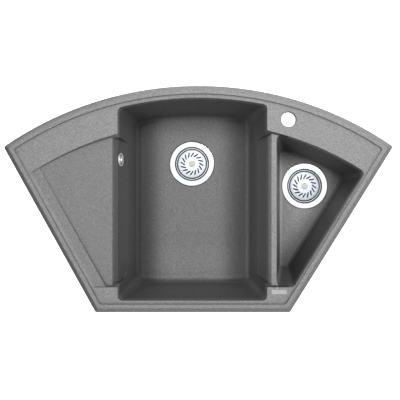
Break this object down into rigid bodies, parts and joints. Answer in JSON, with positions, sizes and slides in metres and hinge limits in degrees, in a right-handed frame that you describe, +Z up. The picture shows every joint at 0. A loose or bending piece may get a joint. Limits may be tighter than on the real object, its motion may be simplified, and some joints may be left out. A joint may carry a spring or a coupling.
{
  "type": "corner kitchen sink",
  "caption": "Fan-shaped stone-composite corner sink with main bowl, small bowl, draining area, basket strainer wastes, overflow, bottle trap and rim clips.",
  "frame": {"origin": "on the worktop's surface, that is the underside of the rim's front edge, midway between the main bowl's two sides", "axes": "+Z up; +Y from the front edge towards the curved back (the room's corner); +X to the right, towards the small bowl"},
  "size_m": [0.9094, 0.5306, 0.52],
  "materials": {
    "stone": "matt granite composite, mid grey with fine darker and lighter specks",
    "steel": "polished stainless steel",
    "brushed_plate": "brushed along its length",
    "chrome": "mirror chrome",
    "zinc_steel": "zinc plated",
    "brass": "plain turned",
    "rubber": "matt black",
    "white_plastic": "moulded polypropylene, satin",
    "knob_plastic": "satin"
  },
  "bodies": {
    "sink": {"sink_body": "stone", "badge_plate": "brushed_plate", "overflow_rosette": "chrome", "overflow_screw": "steel", "overflow_gasket": "rubber", "overflow_elbow": "white_plastic", "overflow_pipe": "white_plastic", "overflow_nuts": "white_plastic", "overflow_seals": "rubber", "waste_tee": "white_plastic", "branch_elbow": "white_plastic", "branch_pipe": "white_plastic", "union_nuts": "white_plastic", "union_seals": "rubber", "trap_dip_tube": "white_plastic", "trap_body": "white_plastic", "trap_cup": "white_plastic", "trap_cup_seal": "rubber", "outlet_pipe": "white_plastic", "rim_clip_inserts": "brass", "rim_clip_screws": "zinc_steel", "rim_clip_arms": "zinc_steel", "main_waste_flange": "steel", "main_top_gasket": "rubber", "main_under_gasket": "rubber", "main_waste_housing": "white_plastic", "main_clamp_screw": "steel", "small_waste_flange": "steel", "small_top_gasket": "rubber", "small_under_gasket": "rubber", "small_waste_housing": "white_plastic", "small_clamp_screw": "steel"},
    "main_basket": {"main_basket_cup": "steel", "main_basket_cover": "steel", "main_basket_knob": "knob_plastic", "main_basket_stem": "steel", "main_basket_stopper": "rubber"},
    "small_basket": {"small_basket_cup": "steel", "small_basket_cover": "steel", "small_basket_knob": "knob_plastic", "small_basket_stem": "steel", "small_basket_stopper": "rubber"}
  },
  "joints": [
    {"name": "main_basket_lift", "type": "slide", "parent": "sink", "child": "main_basket", "axis": [0, 0, 1], "range_m": [0, 0.09]},
    {"name": "small_basket_lift", "type": "slide", "parent": "sink", "child": "small_basket", "axis": [0, 0, 1], "range_m": [0, 0.09]}
  ]
}
